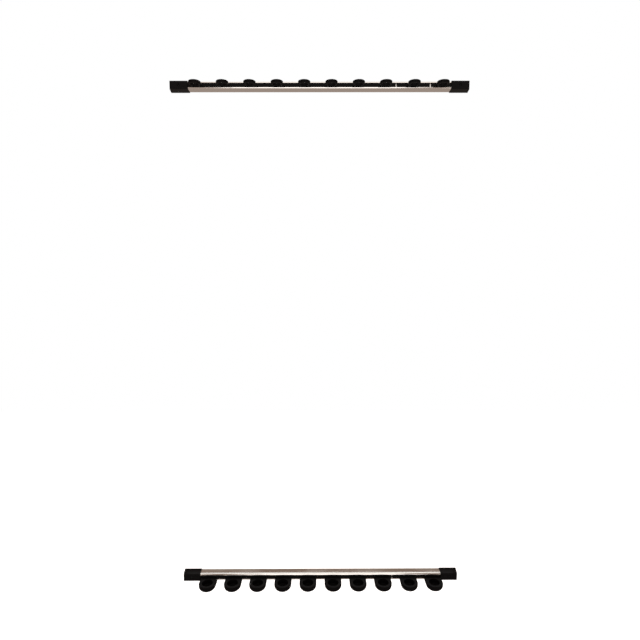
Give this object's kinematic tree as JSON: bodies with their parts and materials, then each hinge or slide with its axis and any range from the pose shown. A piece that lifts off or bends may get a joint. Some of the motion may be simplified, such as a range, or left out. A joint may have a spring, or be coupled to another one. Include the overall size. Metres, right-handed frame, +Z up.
{
  "type": "rod rack",
  "caption": "Wall rack of slotted rails: sliding ring clips on the upper rail steady upright shafts, and sliding cups on the lower rail carry their feet.",
  "frame": {"origin": "on the wall's surface, midway between the four wall screws", "axes": "+X along the rails to the right as seen from the room, +Y into the wall, +Z up"},
  "size_m": [0.914, 0.1075, 1.6017],
  "materials": {
    "rail": "satin anodised extrusion",
    "cap": "moulded, satin",
    "slider": "moulded, satin",
    "clip": "soft moulded rubber",
    "cup": "soft moulded rubber",
    "screw": "blackened steel"
  },
  "bodies": {
    "wall_frame": {"upper_rail": "rail", "lower_rail": "rail", "upper_left_cap": "cap", "upper_right_cap": "cap", "lower_left_cap": "cap", "lower_right_cap": "cap", "upper_screws": "screw", "lower_screws": "screw"},
    "clip_holder_01": {"clip_slider_01": "slider", "clip_01": "clip", "clip_spacer_left": "slider"},
    "clip_holder_02": {"clip_slider_02": "slider", "clip_02": "clip", "clip_spacers_middle": "slider"},
    "clip_holder_03": {"clip_slider_03": "slider", "clip_03": "clip"},
    "clip_holder_04": {"clip_slider_04": "slider", "clip_04": "clip"},
    "clip_holder_05": {"clip_slider_05": "slider", "clip_05": "clip"},
    "clip_holder_06": {"clip_slider_06": "slider", "clip_06": "clip"},
    "clip_holder_07": {"clip_slider_07": "slider", "clip_07": "clip"},
    "clip_holder_08": {"clip_slider_08": "slider", "clip_08": "clip"},
    "clip_holder_09": {"clip_slider_09": "slider", "clip_09": "clip", "clip_spacers_right": "slider"},
    "clip_holder_10": {"clip_slider_10": "slider", "clip_10": "clip"},
    "cup_holder_01": {"cup_slider_01": "slider", "cup_01": "cup", "cup_spacers_left": "slider"},
    "cup_holder_02": {"cup_slider_02": "slider", "cup_02": "cup"},
    "cup_holder_03": {"cup_slider_03": "slider", "cup_03": "cup"},
    "cup_holder_04": {"cup_slider_04": "slider", "cup_04": "cup"},
    "cup_holder_05": {"cup_slider_05": "slider", "cup_05": "cup"},
    "cup_holder_06": {"cup_slider_06": "slider", "cup_06": "cup"},
    "cup_holder_07": {"cup_slider_07": "slider", "cup_07": "cup"},
    "cup_holder_08": {"cup_slider_08": "slider", "cup_08": "cup"},
    "cup_holder_09": {"cup_slider_09": "slider", "cup_09": "cup", "cup_spacers_right": "slider"},
    "cup_holder_10": {"cup_slider_10": "slider", "cup_10": "cup"}
  },
  "joints": [
    {"name": "clip_slide_01", "type": "slide", "parent": "wall_frame", "child": "clip_holder_01", "axis": [1, 0, 0], "range_m": [-0.0021, 0.00095]},
    {"name": "clip_slide_02", "type": "slide", "parent": "wall_frame", "child": "clip_holder_02", "axis": [1, 0, 0], "range_m": [-0.00095, 0.0032]},
    {"name": "clip_slide_03", "type": "slide", "parent": "wall_frame", "child": "clip_holder_03", "axis": [1, 0, 0], "range_m": [-0.00095, 0.0032]},
    {"name": "clip_slide_04", "type": "slide", "parent": "wall_frame", "child": "clip_holder_04", "axis": [1, 0, 0], "range_m": [-0.00095, 0.0032]},
    {"name": "clip_slide_05", "type": "slide", "parent": "wall_frame", "child": "clip_holder_05", "axis": [1, 0, 0], "range_m": [-0.00095, 0.0032]},
    {"name": "clip_slide_06", "type": "slide", "parent": "wall_frame", "child": "clip_holder_06", "axis": [1, 0, 0], "range_m": [-0.00095, 0.0032]},
    {"name": "clip_slide_07", "type": "slide", "parent": "wall_frame", "child": "clip_holder_07", "axis": [1, 0, 0], "range_m": [-0.00095, 0.0032]},
    {"name": "clip_slide_08", "type": "slide", "parent": "wall_frame", "child": "clip_holder_08", "axis": [1, 0, 0], "range_m": [-0.00095, 0.0032]},
    {"name": "clip_slide_09", "type": "slide", "parent": "wall_frame", "child": "clip_holder_09", "axis": [1, 0, 0], "range_m": [-0.0032, 0.0046]},
    {"name": "clip_slide_10", "type": "slide", "parent": "wall_frame", "child": "clip_holder_10", "axis": [1, 0, 0], "range_m": [-0.0046, 0.00615]},
    {"name": "cup_slide_01", "type": "slide", "parent": "wall_frame", "child": "cup_holder_01", "axis": [1, 0, 0], "range_m": [-0.00565, 0.0033]},
    {"name": "cup_slide_02", "type": "slide", "parent": "wall_frame", "child": "cup_holder_02", "axis": [1, 0, 0], "range_m": [-0.00565, 0.0033]},
    {"name": "cup_slide_03", "type": "slide", "parent": "wall_frame", "child": "cup_holder_03", "axis": [1, 0, 0], "range_m": [-0.00565, 0.0033]},
    {"name": "cup_slide_04", "type": "slide", "parent": "wall_frame", "child": "cup_holder_04", "axis": [1, 0, 0], "range_m": [-0.00565, 0.0033]},
    {"name": "cup_slide_05", "type": "slide", "parent": "wall_frame", "child": "cup_holder_05", "axis": [1, 0, 0], "range_m": [-0.00565, 0.0033]},
    {"name": "cup_slide_06", "type": "slide", "parent": "wall_frame", "child": "cup_holder_06", "axis": [1, 0, 0], "range_m": [-0.00565, 0.0033]},
    {"name": "cup_slide_07", "type": "slide", "parent": "wall_frame", "child": "cup_holder_07", "axis": [1, 0, 0], "range_m": [-0.00565, 0.0033]},
    {"name": "cup_slide_08", "type": "slide", "parent": "wall_frame", "child": "cup_holder_08", "axis": [1, 0, 0], "range_m": [-0.00565, 0.0033]},
    {"name": "cup_slide_09", "type": "slide", "parent": "wall_frame", "child": "cup_holder_09", "axis": [1, 0, 0], "range_m": [-0.0033, 0.00255]},
    {"name": "cup_slide_10", "type": "slide", "parent": "wall_frame", "child": "cup_holder_10", "axis": [1, 0, 0], "range_m": [-0.0033, 0.00255]}
  ],
  "couplings": [
    {"joint": "clip_slide_03", "follows": "clip_slide_02", "ratio": 1},
    {"joint": "clip_slide_04", "follows": "clip_slide_02", "ratio": 1},
    {"joint": "clip_slide_05", "follows": "clip_slide_02", "ratio": 1},
    {"joint": "clip_slide_06", "follows": "clip_slide_02", "ratio": 1},
    {"joint": "clip_slide_07", "follows": "clip_slide_02", "ratio": 1},
    {"joint": "clip_slide_08", "follows": "clip_slide_02", "ratio": 1},
    {"joint": "cup_slide_02", "follows": "cup_slide_01", "ratio": 1},
    {"joint": "cup_slide_03", "follows": "cup_slide_01", "ratio": 1},
    {"joint": "cup_slide_04", "follows": "cup_slide_01", "ratio": 1},
    {"joint": "cup_slide_05", "follows": "cup_slide_01", "ratio": 1},
    {"joint": "cup_slide_06", "follows": "cup_slide_01", "ratio": 1},
    {"joint": "cup_slide_07", "follows": "cup_slide_01", "ratio": 1},
    {"joint": "cup_slide_08", "follows": "cup_slide_01", "ratio": 1},
    {"joint": "cup_slide_10", "follows": "cup_slide_09", "ratio": 1}
  ]
}
